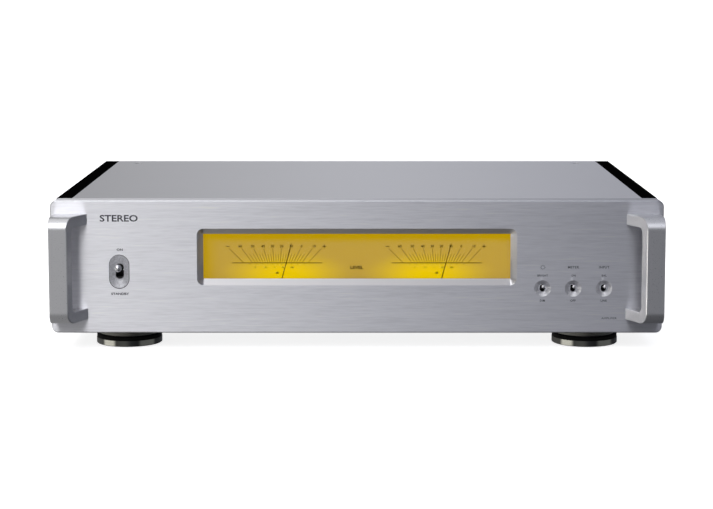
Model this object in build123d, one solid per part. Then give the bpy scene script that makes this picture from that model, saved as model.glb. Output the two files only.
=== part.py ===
from build123d import *
import os
from math import cos, pi, radians, sin

# A full-width stereo power amplifier with two needle meters behind one window.
# Millimetres. +X right as seen from the front, -Y front, +Z up.
# The origin is on the table, at the centre of the footprint.

# ---- overall layout --------------------------------------------------------
PANEL_W = 444.0            # front panel width, the widest part
PANEL_T = 14.5             # front panel thickness
PANEL_Z0 = 13.0            # underside of the front panel
TOP = 110.0                # top of panel and cover
PANEL_Y0 = -148.0          # front face of the panel
PANEL_Y1 = PANEL_Y0 + PANEL_T
PANEL_CORNER_R = 4.75
PANEL_EDGE = 0.8           # chamfer round the front face
REAR_Y = 152.0             # outer face of the rear panel
BODY_Z0 = 13.5             # underside of the base
SIDE_X0 = 208.0            # inner face of a side extrusion
SIDE_X1 = 219.2            # outer face of a side extrusion
GAP = 0.1                  # fitting gap between neighbouring sheets

# ---- front face ------------------------------------------------------------
SKIN_Y = PANEL_Y0 + 5.0    # back of the thin skin round the window
WINDOW_W = 232.0
WINDOW_Z = (48.0, 89.5)
BEVEL = 4.3                # 45 degree bevel round the window
POCKET_X = 123.0           # rear pocket half width
POCKET_Z = (26.0, 93.0)
PANE_T = 2.0
DIAL_Y = (-137.8, -136.6)
NEEDLE_PIVOT_X = 58.25
NEEDLE_PIVOT_Z = 38.4
NEEDLE_LEN = 40.5
NEEDLE_REST_DEG = 15.0     # needle's lean to the right at rest
HANDLE_Z = (23.2, 100.2)
HANDLE_Y0 = -174.0
HANDLE_FOOT_X = 195.3      # inner edge where the handle meets the panel
HANDLE_BAR_X = 206.6       # inner edge at the front of the handle
HANDLE_X1 = 219.6
HANDLE_ARM_T = 7.8
HANDLE_BAR_T = 6.8
POWER_X = -172.4
POWER_Z = 58.0
POWER_PIVOT_Y = -138.5
POWER_TILT = 12.0
TOGGLE_XS = {"dimmer": 134.8, "meter": 157.0, "input": 179.3}
TOGGLE_Z = 45.7
TOGGLE_PIVOT_Y = -140.5
TOGGLE_TILT = 10.0

# ---- feet ------------------------------------------------------------------
FOOT_X = 169.4
FOOT_Y = 114.0
FOOT_R = 24.3
FOOT_DISC_R = (22.3, 18.0)  # silver cone, at its foot and under the base
FOOT_DISC_Z = 8.3

# ---- inside ----------------------------------------------------------------
FLOOR_Z = BODY_Z0 + 2.0    # top of the base sheet
TORUS_XY = (0.0, -45.0)
TORUS_R = 62.0
TORUS_TOP = 75.0
BOARD_Z = (25.0, 26.6)
PSU_X = 75.0
PSU_Y = (30.0, 118.0)
AMP_X = (105.0, 203.0)
AMP_Y = (-90.0, 100.0)
SPREADER_X0 = 200.0
TRANSISTOR_YS = (-55.0, -20.0, 15.0, 50.0)

# ---- rear panel ------------------------------------------------------------
REAR_Y0 = REAR_Y - 2.0
POST_XS = {"right_minus": -55.0, "right_plus": -30.0, "left_minus": 30.0, "left_plus": 55.0}
POST_Z = 55.0
STUD_R = 3.0
STUD_END_Y = 173.6
BANANA_R = 2.05
KNOB_Y = (158.8, 174.0)
WASHER_Y = (157.3, 158.5)
XLR_XS = (118.0, 152.0)
XLR_Z = 58.0
RCA_X = 187.0
RCA_ZS = (72.0, 44.0)
RCA_R = 4.15
IEC_X = -165.0
IEC_Z = 45.0
MODE_X = 84.0
MODE_Z = 58.0

UP = (Align.CENTER, Align.CENTER, Align.MIN)
SIDES = {"left": -1, "right": 1}


# ---- helpers ---------------------------------------------------------------
def block(x, y, z):
    """Box between the low and high limit on each axis."""
    size = (x[1] - x[0], y[1] - y[0], z[1] - z[0])
    return Pos((x[0] + x[1]) / 2, (y[0] + y[1]) / 2, (z[0] + z[1]) / 2) * Box(*size)


def rod(axis, centre, span, radius, end_radius=None):
    """Cylinder, or cone with an end_radius, along an axis; centre holds the other two coordinates."""
    length = span[1] - span[0]
    if end_radius is None:
        solid = Cylinder(radius, length, align=UP)
    else:
        solid = Cone(radius, end_radius, length, align=UP)
    a, b = centre
    if axis == "x":
        return Pos(span[0], a, b) * Rot(0, 90, 0) * solid
    if axis == "y":
        return Pos(a, span[0], b) * Rot(-90, 0, 0) * solid
    return Pos(a, b, span[0]) * solid


def tube(axis, centre, span, outer, inner):
    """Round tube along an axis."""
    return rod(axis, centre, span, outer) - rod(axis, centre, span, inner)


def prism_y(sketch, y):
    """A sketch drawn in X and Z, given depth along Y."""
    return extrude(Plane.XZ.offset(-y[0]) * sketch, amount=-(y[1] - y[0]))


def loft_y(front, back, y):
    """Straight-sided loft between two sketches drawn in X and Z."""
    return loft([Plane.XZ.offset(-y[0]) * front, Plane.XZ.offset(-y[1]) * back], ruled=True)


def stadium(x, z, width, height):
    """Upright slot outline with round ends."""
    return Pos(x, z) * (Rot(0, 0, 90) * SlotOverall(height, width))


def span(half):
    """Limits either side of zero."""
    return (-half, half)


def mirrored(sign, x):
    """Limits on the chosen side of the centre plane, low first."""
    return (x[0], x[1]) if sign > 0 else (-x[1], -x[0])


def screw(axis, centre, start, length, radius, head_r, head_t, sign=1):
    """Cap screw whose head's inner face is at start and whose shank runs along sign * axis."""
    shank = (start, start + length) if sign > 0 else (start - length, start)
    head = (start - head_t, start) if sign > 0 else (start, start + head_t)
    return rod(axis, centre, shank, radius) + rod(axis, centre, head, head_r)


def group(solids):
    """Separate solids kept in one node."""
    return Compound(children=[s if isinstance(s, Solid) else s.solid() for s in solids])


# ---- front panel and what is fixed to it -----------------------------------
def window_cut():
    """Opening with a 45 degree bevel that narrows towards the pane."""
    z_mid = (WINDOW_Z[0] + WINDOW_Z[1]) / 2
    height = WINDOW_Z[1] - WINDOW_Z[0]
    outer = Pos(0, z_mid) * RectangleRounded(WINDOW_W, height, BEVEL + 0.4)
    inner = Pos(0, z_mid) * RectangleRounded(WINDOW_W - 2 * BEVEL, height - 2 * BEVEL, 0.4)
    bevel = loft_y(outer, inner, (PANEL_Y0, PANEL_Y0 + BEVEL))
    return bevel + prism_y(inner, (PANEL_Y0 + BEVEL, SKIN_Y))


def toggle_cut(x):
    """Conical dish, slot and rear pocket of one small toggle."""
    dish = rod("y", (x, TOGGLE_Z), (PANEL_Y0, PANEL_Y0 + 2.6), 6.0, 2.9)
    slot = prism_y(stadium(x, TOGGLE_Z, 3.9, 5.3), (PANEL_Y0 + 2.6, -142.6))
    pocket = block((x - 5.5, x + 5.5), (-142.6, PANEL_Y1), (TOGGLE_Z - 7.5, TOGGLE_Z + 7.5))
    return dish + slot + pocket


def power_cut():
    """Seat for the switch dish and a rear pocket for the switch."""
    seat = prism_y(stadium(POWER_X, POWER_Z, 14.7, 24.9), (PANEL_Y0, SKIN_Y))
    pocket = block((POWER_X - 6.4, POWER_X + 6.4), (SKIN_Y, PANEL_Y1), (POWER_Z - 10.2, POWER_Z + 10.2))
    return seat + pocket


HANDLE_SCREW_X = 207.0
HANDLE_SCREW_ZS = (HANDLE_Z[0] + HANDLE_ARM_T / 2, HANDLE_Z[1] - HANDLE_ARM_T / 2)
PANEL_SCREW_XS = (-190.0, -70.0, 70.0, 190.0)
PANEL_SCREW_Z = 19.8
HOUSING_SCREWS = [(x, z) for x in (-126.5, 126.5) for z in (31.0, 94.0)]
POWER_SCREW_ZS = (POWER_Z - 14.0, POWER_Z + 14.0)
FRONT_BOARD_X = (130.2, 196.0)
FRONT_BOARD_Z = (32.0, 78.0)
FRONT_BOARD_SCREWS = [(x, z) for x in (134.5, 191.5) for z in (35.5, 74.5)]


def make_front_panel():
    panel = block(span(PANEL_W / 2), (PANEL_Y0, PANEL_Y1), (PANEL_Z0, TOP))
    panel = fillet(panel.edges().filter_by(Axis.Y), PANEL_CORNER_R)
    panel = chamfer(panel.faces().sort_by(Axis.Y)[0].edges(), PANEL_EDGE)
    panel -= window_cut()
    panel -= block(span(POCKET_X), (SKIN_Y, PANEL_Y1), POCKET_Z)
    panel -= power_cut()
    for x in TOGGLE_XS.values():
        panel -= toggle_cut(x)
    for sign in SIDES.values():
        for z in HANDLE_SCREW_ZS:
            centre = (sign * HANDLE_SCREW_X, z)
            panel -= rod("y", centre, (PANEL_Y0, PANEL_Y1), 2.2)
            panel -= rod("y", centre, (PANEL_Y1 - 5.0, PANEL_Y1), 4.0)
    for x in PANEL_SCREW_XS:
        panel -= rod("y", (x, PANEL_SCREW_Z), (PANEL_Y1 - 8.0, PANEL_Y1), 1.6)
    for centre in HOUSING_SCREWS + FRONT_BOARD_SCREWS:
        panel -= rod("y", centre, (PANEL_Y1 - 7.0, PANEL_Y1), 1.3)
    for z in POWER_SCREW_ZS:
        panel -= rod("y", (POWER_X, z), (PANEL_Y1 - 7.0, PANEL_Y1), 1.3)
    tongue_slot = block(span(200.3), (PANEL_Y1 - 3.2, PANEL_Y1), (105.9, 107.7))
    return panel - tongue_slot


def make_handle(sign):
    """Bracket with two arms and a bar, sloped on its inner side."""
    y_mid = (HANDLE_Y0 + PANEL_Y0) / 2
    z_mid = (HANDLE_Z[0] + HANDLE_Z[1]) / 2
    depth = PANEL_Y0 - HANDLE_Y0
    height = HANDLE_Z[1] - HANDLE_Z[0]
    outline = Pos(y_mid, z_mid) * Rectangle(depth, height)
    outline = fillet(outline.vertices().group_by(Axis.X)[0], 9.0)
    gap_depth = depth - HANDLE_BAR_T
    gap = Pos(PANEL_Y0 - gap_depth / 2, z_mid) * Rectangle(gap_depth, height - 2 * HANDLE_ARM_T)
    gap = fillet(gap.vertices().group_by(Axis.X)[0], 4.0)
    bracket = extrude(Plane.YZ * (outline - gap), amount=HANDLE_X1 + 1)
    plan = Polyline(
        (HANDLE_FOOT_X, PANEL_Y0),
        (HANDLE_X1, PANEL_Y0),
        (HANDLE_X1, HANDLE_Y0),
        (HANDLE_BAR_X, HANDLE_Y0),
        close=True,
    )
    bracket = bracket & extrude(make_face(plan), amount=TOP)
    sharp = bracket.edges().filter_by(lambda e: e.center().Y < PANEL_Y0 - 0.1)
    bracket = chamfer(sharp, 0.35)
    for z in HANDLE_SCREW_ZS:
        bracket -= rod("y", (HANDLE_SCREW_X, z), (PANEL_Y0 - 11.0, PANEL_Y0), 2.05)
    return bracket if sign > 0 else mirror(bracket, about=Plane.YZ)


def handle_screws():
    """Cap screws from behind the panel into the handle feet."""
    centres = [(sign * HANDLE_SCREW_X, z) for sign in SIDES.values() for z in HANDLE_SCREW_ZS]
    return [screw("y", c, PANEL_Y1 - 5.0, 19.5, 2.0, 3.5, 4.0, -1) for c in centres]


def make_window_pane():
    return block(span(POCKET_X - 1.0), (SKIN_Y, SKIN_Y + PANE_T), (46.5, 92.5))


def make_power_switch_dish():
    """Stadium insert, hollowed towards the lever's slot."""
    body = prism_y(stadium(POWER_X, POWER_Z, 14.3, 24.5), (PANEL_Y0, SKIN_Y))
    rim = stadium(POWER_X, POWER_Z, 13.3, 23.5)
    throat = stadium(POWER_X, POWER_Z, 7.0, 12.3)
    slot = stadium(POWER_X, POWER_Z, 6.2, 11.5)
    body -= loft_y(rim, throat, (PANEL_Y0, PANEL_Y0 + 2.6))
    return body - prism_y(slot, (PANEL_Y0, SKIN_Y))


# ---- toggle switches -------------------------------------------------------
def lever_axis_solid(parts):
    """Join solids drawn along +Z from the pivot."""
    lever = parts[0]
    for other in parts[1:]:
        lever += other
    return lever


def place_lever(solid, x, y, z, tilt):
    """Turn a lever drawn along +Z to point forward and tilt its tip up."""
    return Pos(x, y, z) * Rot(90 - tilt, 0, 0) * solid


def make_power_lever():
    lever = lever_axis_solid([
        Sphere(2.2),
        Cylinder(1.5, 8.0, align=UP),
        Pos(0, 0, 8.0) * Cone(1.5, 2.7, 9.0, align=UP),
        Pos(0, 0, 17.0) * Sphere(2.7),
        Pos(0, 0, -4.0) * Cylinder(1.1, 4.0, align=UP),
        rod("x", (0, 0), (-4.0, 4.0), 1.0),
    ])
    return place_lever(lever, POWER_X, POWER_PIVOT_Y, POWER_Z, POWER_TILT)


def make_small_lever(x):
    lever = lever_axis_solid([
        Sphere(1.5),
        Cylinder(0.9, 6.0, align=UP),
        Pos(0, 0, 6.0) * Cone(0.9, 1.15, 7.0, align=UP),
        Pos(0, 0, 13.0) * Sphere(1.15),
        Pos(0, 0, -2.6) * Cylinder(0.8, 2.6, align=UP),
        rod("x", (0, 0), (-2.6, 2.6), 0.7),
    ])
    return place_lever(lever, x, TOGGLE_PIVOT_Y, TOGGLE_Z, TOGGLE_TILT)


def power_switch_body():
    """Mains toggle with mounting ears and two blade terminals."""
    body = block((POWER_X - 6.0, POWER_X + 6.0), (-142.8, -118.0), (POWER_Z - 9.5, POWER_Z + 9.5))
    body += block((POWER_X - 9.0, POWER_X + 9.0), (PANEL_Y1, -132.0), (POWER_Z - 18.0, POWER_Z + 18.0))
    for z in (POWER_Z - 5.0, POWER_Z + 5.0):
        body += block((POWER_X - 2.4, POWER_X + 2.4), (-118.0, -110.0), (z - 0.4, z + 0.4))
    body -= block((POWER_X - 2.7, POWER_X + 2.7), (-142.8, -132.5), (POWER_Z - 4.5, POWER_Z + 4.5))
    body -= rod("x", (POWER_PIVOT_Y, POWER_Z), (POWER_X - 4.4, POWER_X + 4.4), 1.05)
    for z in POWER_SCREW_ZS:
        body -= rod("y", (POWER_X, z), (PANEL_Y1, -132.0), 1.4)
    return body


def make_switch_bodies():
    """The mains toggle's body and three miniature bodies on the control board."""
    bodies = [power_switch_body()]
    for x in TOGGLE_XS.values():
        body = block((x - 4.4, x + 4.4), (-142.4, -131.0), (TOGGLE_Z - 6.4, TOGGLE_Z + 6.4))
        body -= block((x - 1.9, x + 1.9), (-142.4, -136.8), (TOGGLE_Z - 2.7, TOGGLE_Z + 2.7))
        body -= rod("x", (TOGGLE_PIVOT_Y, TOGGLE_Z), (x - 3.0, x + 3.0), 0.75)
        bodies.append(body)
    return group(bodies)


def make_front_control_board():
    board = block(FRONT_BOARD_X, (-131.0, -129.4), FRONT_BOARD_Z)
    board += block((150.0, 170.0), (-129.4, -122.4), (66.0, 72.0))
    for centre in FRONT_BOARD_SCREWS:
        board -= rod("y", centre, (-131.0, -129.4), 1.6)
    return board


def front_screws():
    """Small screws that hold the control board, power switch and meter housing."""
    screws = [screw("y", c, -129.4, 10.0, 1.25, 2.75, 1.8, -1) for c in FRONT_BOARD_SCREWS]
    screws += [screw("y", (POWER_X, z), -132.0, 7.5, 1.25, 2.75, 1.8, -1) for z in POWER_SCREW_ZS]
    screws += [screw("y", c, -131.4, 7.5, 1.25, 2.75, 1.8, -1) for c in HOUSING_SCREWS]
    return screws


# ---- meters ----------------------------------------------------------------
def make_meter_housing():
    """Light box with a mounting flange and a hole for each movement."""
    shell = block(span(119.0), (DIAL_Y[1], -112.0), (48.0, 92.0))
    shell += block(span(130.0), (PANEL_Y1 + GAP, -131.4), (27.5, 97.5))
    shell -= block(span(117.0), (DIAL_Y[1], -114.0), (50.0, 90.0))
    for sign in SIDES.values():
        shell -= rod("y", (sign * NEEDLE_PIVOT_X, NEEDLE_PIVOT_Z), (-137.0, -131.0), 9.2)
    for centre in HOUSING_SCREWS:
        shell -= rod("y", centre, (-134.0, -131.0), 1.4)
    return shell


def make_meter_dial():
    return block(span(118.6), DIAL_Y, (48.3, 91.7))


def make_meter_light_board():
    """Back-light board with two rows of soldered lamps."""
    board = block(span(116.0), (-115.6, -114.0), (51.0, 89.0))
    for z in (58.0, 80.0):
        for step in range(8):
            x = -101.5 + 29.0 * step
            board += block((x - 1.8, x + 1.8), (-116.8, -115.6), (z - 1.4, z + 1.4))
    return board


def make_meter_movements():
    """Two moving-coil movements, each with a bearing bore for its needle."""
    movements = []
    for sign in SIDES.values():
        x = sign * NEEDLE_PIVOT_X
        centre = (x, NEEDLE_PIVOT_Z)
        body = rod("y", centre, (DIAL_Y[1], -116.0), 9.0)
        body += rod("y", centre, (-138.0, DIAL_Y[1]), 3.0)
        body += block((x - 14.0, x + 14.0), (-131.4, -129.8), (28.0, 46.8))
        body -= rod("y", centre, (-138.0, -126.0), 0.65)
        movements.append(body)
    return group(movements)


def make_needle(sign):
    """Tapered pointer with hub, arbor and counterweight, leaning to its rest reading."""
    blade = Polyline((-0.4, 0), (0.4, 0), (0.2, NEEDLE_LEN), (-0.2, NEEDLE_LEN), close=True)
    needle = prism_y(make_face(blade), (-139.9, -139.4))
    needle += prism_y(Pos(0, -4.0) * Rectangle(1.2, 8.0), (-139.9, -139.4))
    needle += rod("y", (0, -7.6), (-140.1, -138.6), 1.7)
    needle += rod("y", (0, 0), (-140.3, -138.5), 2.2)
    needle += rod("y", (0, 0), (-138.5, -128.0), 0.6)
    return Pos(sign * NEEDLE_PIVOT_X, 0, NEEDLE_PIVOT_Z) * Rot(0, NEEDLE_REST_DEG, 0) * needle


# ---- cabinet ---------------------------------------------------------------
BASE_HALF = 207.9
BASE_Y = (PANEL_Y1, REAR_Y0)
FLANGE_Z = 26.0
SIDE_FLANGE_Z = 38.0
SIDE_SCREW_YS = (-110.0, 0.0, 110.0)
SIDE_SCREW_Z = 30.0
STANDOFFS = [(x, y) for x in (-68.0, 68.0) for y in (36.0, 112.0)]
STANDOFFS += [(s * x, y) for s in (-1, 1) for x in (111.0, 190.0) for y in (-84.0, 94.0)]
REAR_SCREWS = [(x, 20.0) for x in (-198.0, -100.0, 0.0, 100.0, 198.0)]


def vent_slots(xs, ys, z):
    """Rows of slots through a sheet, long side along Y."""
    slots = [Pos(x, y) * (Rot(0, 0, 90) * SlotOverall(26.0, 4.0)) for x in xs for y in ys]
    return extrude(Plane.XY.offset(z) * Sketch(children=slots), amount=3.0)


def make_chassis_base():
    """Folded steel tray: floor, front and rear flanges, two side flanges."""
    base = block(span(BASE_HALF), BASE_Y, (BODY_Z0, FLOOR_Z))
    base += block(span(BASE_HALF), (BASE_Y[0], BASE_Y[0] + 2.0), (BODY_Z0, FLANGE_Z))
    base += block(span(BASE_HALF), (BASE_Y[1] - 2.0, BASE_Y[1]), (BODY_Z0, FLANGE_Z))
    for sign in SIDES.values():
        base += block(mirrored(sign, (BASE_HALF - 2.0, BASE_HALF)), BASE_Y, (BODY_Z0, SIDE_FLANGE_Z))
        for y in SIDE_SCREW_YS:
            base -= rod("x", (y, SIDE_SCREW_Z), (sign * 207.0 - 2.0, sign * 207.0 + 2.0), 2.1)
        xs = [sign * (125.0 + 10.0 * step) for step in range(7)]
        base -= vent_slots(xs, (-55.0, -15.0, 25.0, 65.0), BODY_Z0 - 0.5)
        for y in (-FOOT_Y, FOOT_Y):
            base -= rod("z", (sign * FOOT_X, y), (BODY_Z0, FLOOR_Z), 2.55)
    for x in PANEL_SCREW_XS:
        base -= rod("y", (x, PANEL_SCREW_Z), (BASE_Y[0], BASE_Y[0] + 2.0), 1.8)
    for centre in REAR_SCREWS:
        base -= rod("y", centre, (BASE_Y[1] - 2.0, BASE_Y[1]), 1.55)
    for centre in STANDOFFS:
        base -= rod("z", centre, (BODY_Z0, FLOOR_Z), 1.6)
    return base - rod("z", TORUS_XY, (BODY_Z0, FLOOR_Z), 4.1)


def make_side_panel(sign):
    """Black extrusion with lengthwise cooling ribs on its outer face."""
    panel = block((SIDE_X0, SIDE_X1), (PANEL_Y1, REAR_Y), (BODY_Z0, TOP))
    groove_z = BODY_Z0 + 4.5
    while groove_z + 4.0 < TOP - 3.5:
        panel -= block((SIDE_X1 - 4.5, SIDE_X1), (PANEL_Y1, REAR_Y), (groove_z, groove_z + 4.0))
        groove_z += 8.0
    for y in SIDE_SCREW_YS:
        panel -= rod("x", (y, SIDE_SCREW_Z), (SIDE_X0, SIDE_X0 + 5.5), 1.65)
    return panel if sign > 0 else mirror(panel, about=Plane.YZ)


def flange_screws():
    """Screws through the base flanges into the front panel and the side extrusions."""
    start = BASE_Y[0] + 2.0
    screws = [screw("y", (x, PANEL_SCREW_Z), start, 9.0, 1.55, 3.5, 2.4, -1) for x in PANEL_SCREW_XS]
    for sign in SIDES.values():
        inner = sign * (BASE_HALF - 2.0)
        screws += [screw("x", (y, SIDE_SCREW_Z), inner, 7.0, 1.6, 3.5, 2.4, sign) for y in SIDE_SCREW_YS]
    return screws


COVER_SCREW_X = 189.0
COVER_SCREW_Y = 132.0
COVER_T = 4.0


def make_top_cover():
    """Plain aluminium plate with a tongue at the front and two countersunk holes at the rear."""
    cover = block(span(BASE_HALF), (PANEL_Y1 + 0.05, REAR_Y), (TOP - COVER_T, TOP))
    cover += block(span(200.0), (PANEL_Y1 - 3.0, PANEL_Y1 + 0.05), (TOP - COVER_T, TOP - COVER_T + 1.5))
    for sign in SIDES.values():
        centre = (sign * COVER_SCREW_X, COVER_SCREW_Y)
        cover -= rod("z", centre, (TOP - COVER_T, TOP), 1.7)
        cover -= rod("z", centre, (TOP - 1.9, TOP), 1.7, 3.4)
    return cover


def make_top_cover_screws():
    screws = []
    for sign in SIDES.values():
        centre = (sign * COVER_SCREW_X, COVER_SCREW_Y)
        head = rod("z", centre, (TOP - 1.7, TOP - 0.1), 1.55, 3.15)
        head += rod("z", centre, (TOP - 10.0, TOP - 1.7), 1.5)
        socket = extrude(Plane.XY.offset(TOP - 1.3) * Pos(*centre) * RegularPolygon(1.15, 6), amount=1.3)
        screws.append(head - socket)
    return group(screws)


def make_rear_panel():
    """Steel rear panel with connector cut-outs, vents and two folded tabs for the cover screws."""
    top = TOP - COVER_T - GAP
    panel = block(span(BASE_HALF), (REAR_Y0, REAR_Y), (BODY_Z0, top))
    for sign in SIDES.values():
        panel += block(mirrored(sign, (181.0, 197.0)), (124.0, REAR_Y0), (top - 2.0, top))
        panel -= rod("z", (sign * COVER_SCREW_X, COVER_SCREW_Y), (top - 2.0, top), 1.55)
    cuts = (REAR_Y0, REAR_Y)
    panel -= block((IEC_X - 14.0, IEC_X + 14.0), cuts, (IEC_Z - 10.2, IEC_Z + 10.2))
    for sign in SIDES.values():
        panel -= rod("y", (IEC_X + sign * 20.0, IEC_Z), cuts, 1.6)
    for x in XLR_XS:
        panel -= rod("y", (x, XLR_Z), cuts, 12.0)
        for sign in SIDES.values():
            panel -= rod("y", (x + sign * 9.5, XLR_Z + sign * 12.0), cuts, 1.6)
    for z in RCA_ZS:
        panel -= rod("y", (RCA_X, z), cuts, 5.5)
    for x in POST_XS.values():
        panel -= rod("y", (x, POST_Z), cuts, 5.5)
    panel -= block((MODE_X - 7.0, MODE_X + 7.0), cuts, (MODE_Z - 3.2, MODE_Z + 3.2))
    for sign in SIDES.values():
        panel -= rod("y", (MODE_X + sign * 9.5, MODE_Z), cuts, 1.1)
    for centre in REAR_SCREWS:
        panel -= rod("y", centre, cuts, 1.6)
    slots = [stadium(-80.0 + 8.0 * step, 86.0, 3.6, 18.0) for step in range(21)]
    return panel - prism_y(Sketch(children=slots), (REAR_Y0 - 1.0, REAR_Y + 1.0))


# ---- feet ------------------------------------------------------------------
FOOT_PLACES = [(sx * FOOT_X, sy * FOOT_Y) for sx in (-1, 1) for sy in (-1, 1)]


def at_feet(make_one):
    """One copy under each corner."""
    return [Pos(x, y, 0) * make_one() for x, y in FOOT_PLACES]


def foot_upper_disc():
    disc = Pos(0, 0, FOOT_DISC_Z) * Cone(*FOOT_DISC_R, BODY_Z0 - FOOT_DISC_Z, align=UP)
    return disc - Cylinder(2.55, 40.0)


def foot_damper():
    disc = Pos(0, 0, 5.3) * Cylinder(FOOT_R - 0.25, 3.0, align=UP)
    disc = fillet(disc.edges().sort_by(Axis.Z)[-1], 1.0)
    return disc - Cylinder(2.55, 40.0)


def foot_ring():
    ring = Pos(0, 0, 0.6) * Cylinder(FOOT_R, 4.7, align=UP)
    ring = chamfer(ring.edges(), 0.4)
    ring -= Cylinder(18.4, 1.4 * 2)
    ring -= Cylinder(6.0, 4.2 * 2)
    return ring - Cylinder(2.55, 40.0)


def foot_pad():
    return Cylinder(18.0, 1.2, align=UP)


def foot_screw():
    shank = Pos(0, 0, 4.2) * Cylinder(2.45, 15.0, align=UP)
    return shank + Pos(0, 0, 1.5) * Cylinder(4.6, 2.7, align=UP)


def foot_nut():
    nut = extrude(Plane.XY.offset(FLOOR_Z) * RegularPolygon(4.6, 6), amount=3.6)
    return nut - Cylinder(2.5, 60.0)


# ---- power supply ----------------------------------------------------------
def make_transformer():
    """Toroid with taped windings."""
    core = rod("z", TORUS_XY, (FLOOR_Z, TORUS_TOP), TORUS_R)
    core -= rod("z", TORUS_XY, (FLOOR_Z, TORUS_TOP), 17.0)
    return fillet(core.edges().filter_by(GeomType.CIRCLE), 7.0)


def make_transformer_clamp():
    """Pressed steel disc that holds the toroid down."""
    disc = rod("z", TORUS_XY, (TORUS_TOP, TORUS_TOP + 2.0), 42.0)
    disc = fillet(disc.edges().sort_by(Axis.Z)[-1], 1.0)
    return disc - rod("z", TORUS_XY, (TORUS_TOP, TORUS_TOP + 2.0), 4.1)


def transformer_bolt():
    """Bolt from below with its nut, the head under the base."""
    bolt = rod("z", TORUS_XY, (BODY_Z0, TORUS_TOP + 12.0), 4.0)
    hexagon = Pos(*TORUS_XY) * RegularPolygon(7.5, 6)
    head = extrude(Plane.XY.offset(BODY_Z0 - 5.0) * hexagon, amount=5.0)
    nut = extrude(Plane.XY.offset(TORUS_TOP + 2.0) * hexagon, amount=6.5)
    return bolt + head + nut


def drilled_board(x, y, holes):
    """Circuit board with its fixing holes."""
    board = block(x, y, BOARD_Z)
    for centre in holes:
        board -= rod("z", centre, BOARD_Z, 1.6)
    return board


def make_power_supply_board():
    return drilled_board(span(PSU_X), PSU_Y, STANDOFFS[:4])


def make_reservoir_capacitors():
    caps = []
    for x in (-54.0, -18.0, 18.0, 54.0):
        can = rod("z", (x, 62.0), (BOARD_Z[1], BOARD_Z[1] + 45.0), 15.0)
        caps.append(fillet(can.edges().sort_by(Axis.Z)[-1], 1.2))
    return group(caps)


def rectifier():
    """Bridge rectifier standing on four legs."""
    body = block((-15.0, 15.0), (93.5, 98.0), (34.0, 54.0))
    for step in range(4):
        x = -11.6 + 7.4 * step
        body += block((x, x + 1.0), (95.4, 96.2), (BOARD_Z[1], 34.0))
    return body


# ---- amplifier channels ----------------------------------------------------
def make_amplifier_boards():
    """One board per channel."""
    boards = []
    for sign in SIDES.values():
        holes = [c for c in STANDOFFS[4:] if c[0] * sign > 0]
        boards.append(drilled_board(mirrored(sign, AMP_X), AMP_Y, holes))
    return group(boards)


def make_heat_spreaders():
    """Thick aluminium bars between the output transistors and the side extrusions."""
    bars = []
    for sign in SIDES.values():
        bar = block(mirrored(sign, (SPREADER_X0, SIDE_X0)), (-85.0, 85.0), (SIDE_FLANGE_Z + 2.0, 98.0))
        for y in TRANSISTOR_YS:
            bar -= rod("x", (y, 62.0), mirrored(sign, (SPREADER_X0, SPREADER_X0 + 6.0)), 1.3)
        bars.append(bar)
    return group(bars)


def make_power_semiconductors():
    """Four flat output packages per channel, legs down to the board, and the rectifier."""
    packs = [rectifier()]
    for sign in SIDES.values():
        for y in TRANSISTOR_YS:
            pack = block(mirrored(sign, (195.2, SPREADER_X0)), (y - 7.8, y + 7.8), (46.0, 66.0))
            for leg in (-5.45, 0.0, 5.45):
                x = mirrored(sign, (197.0, 197.8))
                pack += block(x, (y + leg - 0.6, y + leg + 0.6), (BOARD_Z[1], 46.0))
            pack -= rod("x", (y, 62.0), mirrored(sign, (195.2, SPREADER_X0)), 1.7)
            packs.append(pack)
    return group(packs)


def transistor_screws():
    centres = [(sign, y) for sign in SIDES.values() for y in TRANSISTOR_YS]
    return [screw("x", (y, 62.0), sign * 195.2, 10.0, 1.25, 2.8, 2.0, sign) for sign, y in centres]


def make_board_components():
    """Emitter resistors, film capacitors and the output coil of each channel."""
    pieces = []
    for sign in SIDES.values():
        for y in TRANSISTOR_YS:
            pieces.append(block(mirrored(sign, (168.0, 174.0)), (y - 10.0, y + 10.0), (BOARD_Z[1], 36.0)))
            pieces.append(block(mirrored(sign, (128.0, 146.0)), (y - 13.0, y - 5.0), (BOARD_Z[1], 39.0)))
        pieces.append(tube("x", (74.0, BOARD_Z[1] + 9.0), mirrored(sign, (160.0, 184.0)), 9.0, 5.0))
    return group(pieces)


def make_relays():
    """Standby relay and two speaker relays per channel."""
    relays = [block((-72.0, -44.0), (84.0, 96.0), (BOARD_Z[1], 51.0))]
    for sign in SIDES.values():
        for y in (66.0, 84.0):
            relays.append(block(mirrored(sign, (122.0, 150.0)), (y - 6.5, y + 6.5), (BOARD_Z[1], 51.0)))
    return group(relays)


def make_spacers():
    """Stand-offs under the boards and spacers behind the front panel."""
    spacers = [tube("z", c, (FLOOR_Z, BOARD_Z[0]), 3.0, 1.55) for c in STANDOFFS]
    return group(spacers + [tube("y", c, (PANEL_Y1, -131.0), 3.0, 1.6) for c in FRONT_BOARD_SCREWS])


def make_inner_screws():
    """Every small screw inside the cabinet."""
    board_screws = [screw("z", c, BOARD_Z[1], 8.0, 1.45, 2.8, 2.0, -1) for c in STANDOFFS]
    return group(board_screws + front_screws() + transistor_screws())


def make_chassis_fixings():
    """Handle, flange, foot and transformer fixings."""
    fixings = handle_screws() + flange_screws() + [transformer_bolt()]
    return group(fixings + at_feet(foot_screw) + at_feet(foot_nut))


# ---- wiring ----------------------------------------------------------------
LEAD_R = 1.3
LEAD_BEND = 8.0
IEC_PINS = [(IEC_X - 7.0, IEC_Z - 2.0), (IEC_X + 7.0, IEC_Z - 2.0), (IEC_X, IEC_Z + 2.0)]


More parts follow.
